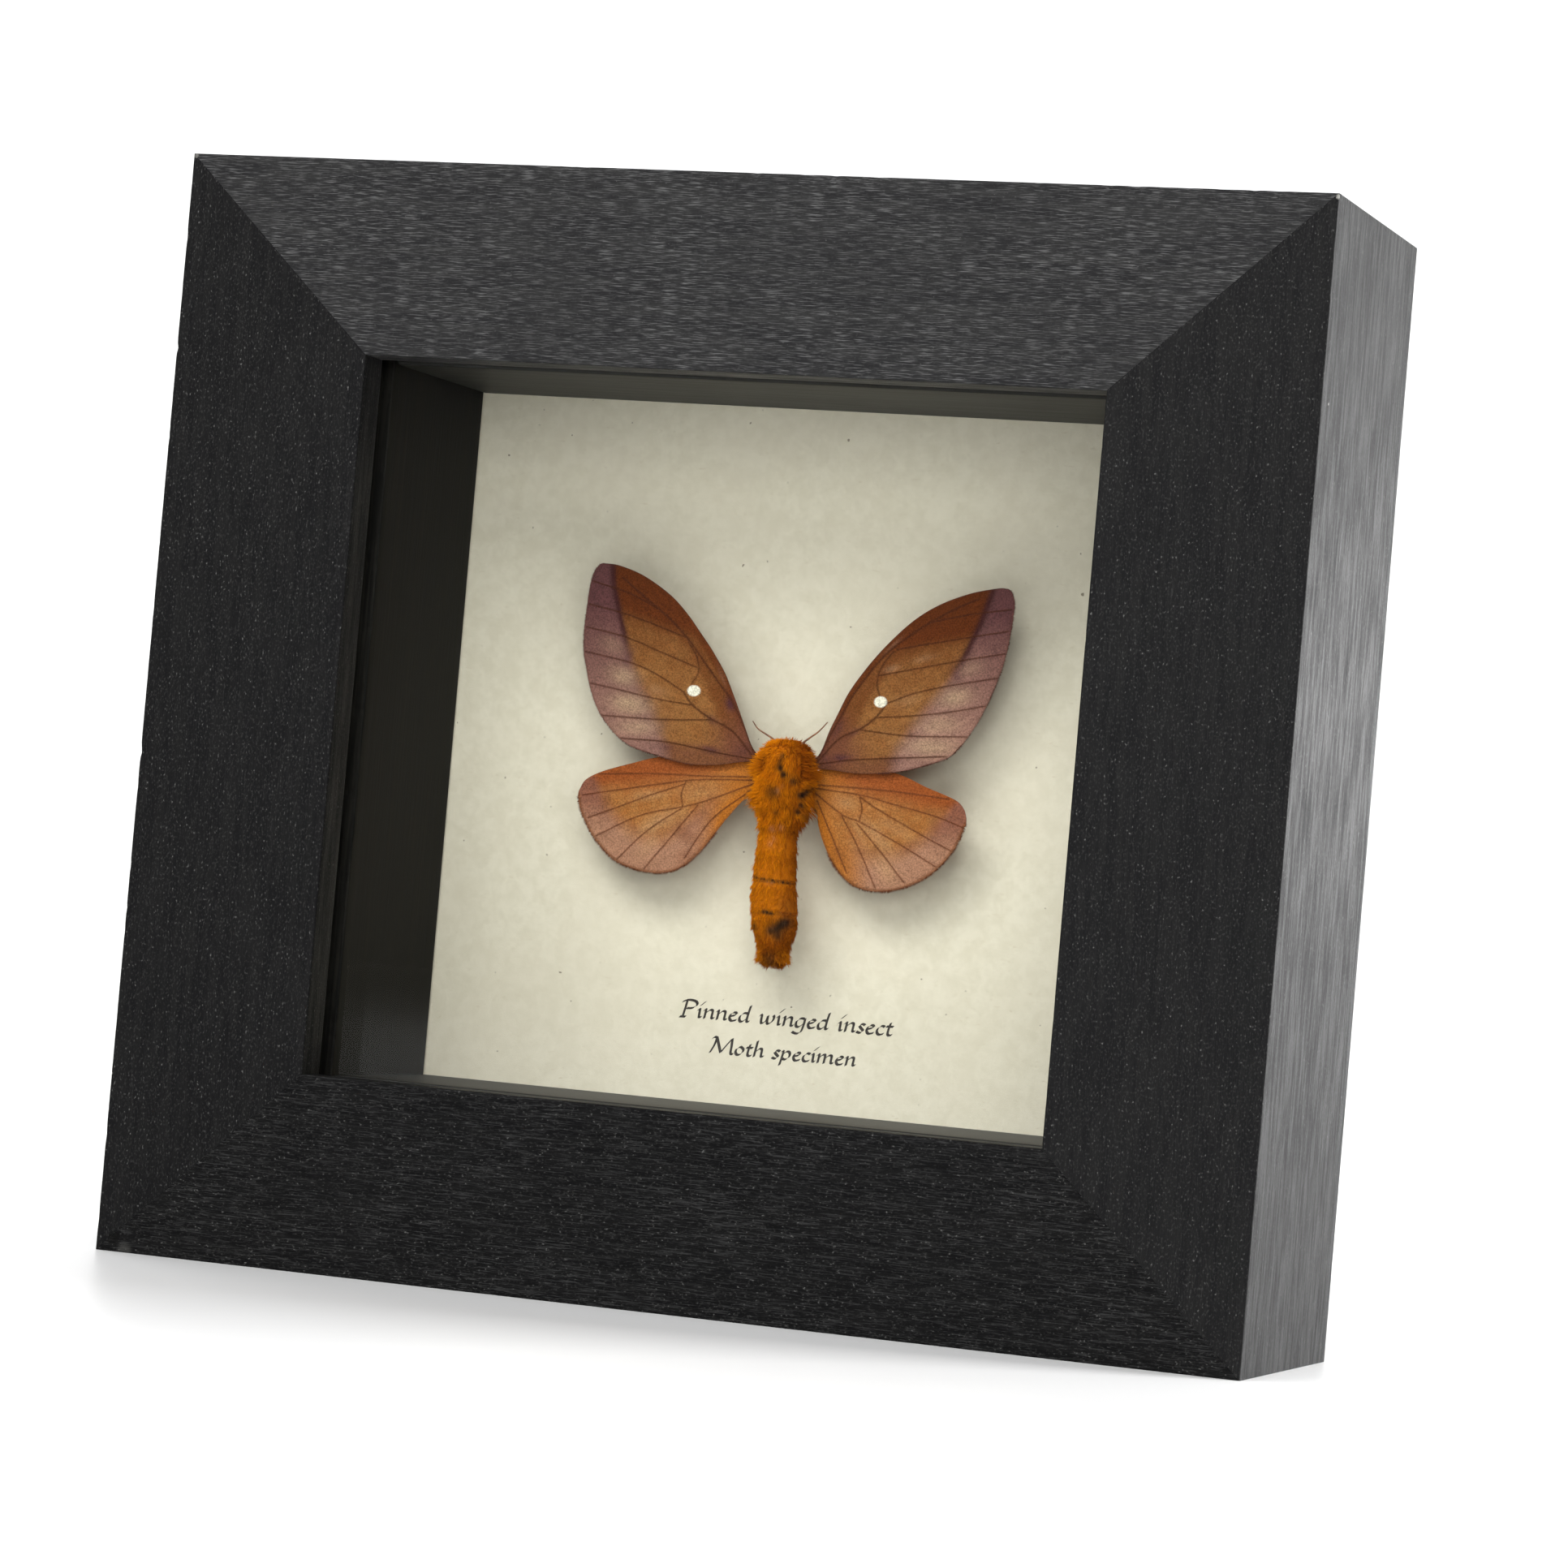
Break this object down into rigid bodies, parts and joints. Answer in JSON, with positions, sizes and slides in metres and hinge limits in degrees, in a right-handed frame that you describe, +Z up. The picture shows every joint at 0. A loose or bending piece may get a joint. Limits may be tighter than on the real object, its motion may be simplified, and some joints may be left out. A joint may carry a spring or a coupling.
{
  "type": "framed moth specimen",
  "caption": "Deep black wooden box frame with a glass front, holding a spread, dried moth on a pin in front of cream paper.",
  "frame": {"origin": "under the middle of the frame, on the surface that the bottom rail stands on", "axes": "+Z up, +Y from the glass front towards the wall, +X to the right as seen from the front"},
  "size_m": [0.14, 0.0406, 0.131],
  "materials": {
    "black_wood": "black stain, satin, open grain with fine pale flecks",
    "clear_glass": "clear and polished",
    "black_spacer": "black paint on thin wood, faint grain",
    "parchment_paper": "matt cream parchment, softly mottled",
    "brown_board": "matt brown board",
    "bright_steel": "thin zinc-plated sheet",
    "black_pin": "black enamelled steel wire",
    "golden_fur": "dense golden-orange hair scales",
    "forewing_scales": "fine matt scales, brown with a mauve margin and a white spot",
    "hindwing_scales": "fine matt scales, salmon orange with a mauve margin",
    "antenna_brown": "dry brown thread",
    "leg_brown": "dry brown shell with short hair"
  },
  "bodies": {
    "root": {"rail_top": "black_wood", "rail_bottom": "black_wood", "rail_left": "black_wood", "rail_right": "black_wood", "glass_pane": "clear_glass", "spacer_top": "black_spacer", "spacer_bottom": "black_spacer", "spacer_left": "black_spacer", "spacer_right": "black_spacer", "mount_paper": "parchment_paper", "backing_board": "brown_board", "point_top": "bright_steel", "point_bottom": "bright_steel", "point_left": "bright_steel", "point_right": "bright_steel", "hanger_plate": "bright_steel", "hanger_nail_left": "bright_steel", "hanger_nail_right": "bright_steel", "mounting_pin": "black_pin", "moth_body": "golden_fur", "forewing_left": "forewing_scales", "forewing_right": "forewing_scales", "hindwing_left": "hindwing_scales", "hindwing_right": "hindwing_scales", "antenna_left": "antenna_brown", "antenna_right": "antenna_brown", "leg_front_left": "leg_brown", "leg_front_right": "leg_brown", "leg_middle_left": "leg_brown", "leg_middle_right": "leg_brown", "leg_hind_left": "leg_brown", "leg_hind_right": "leg_brown"}
  },
  "joints": []
}
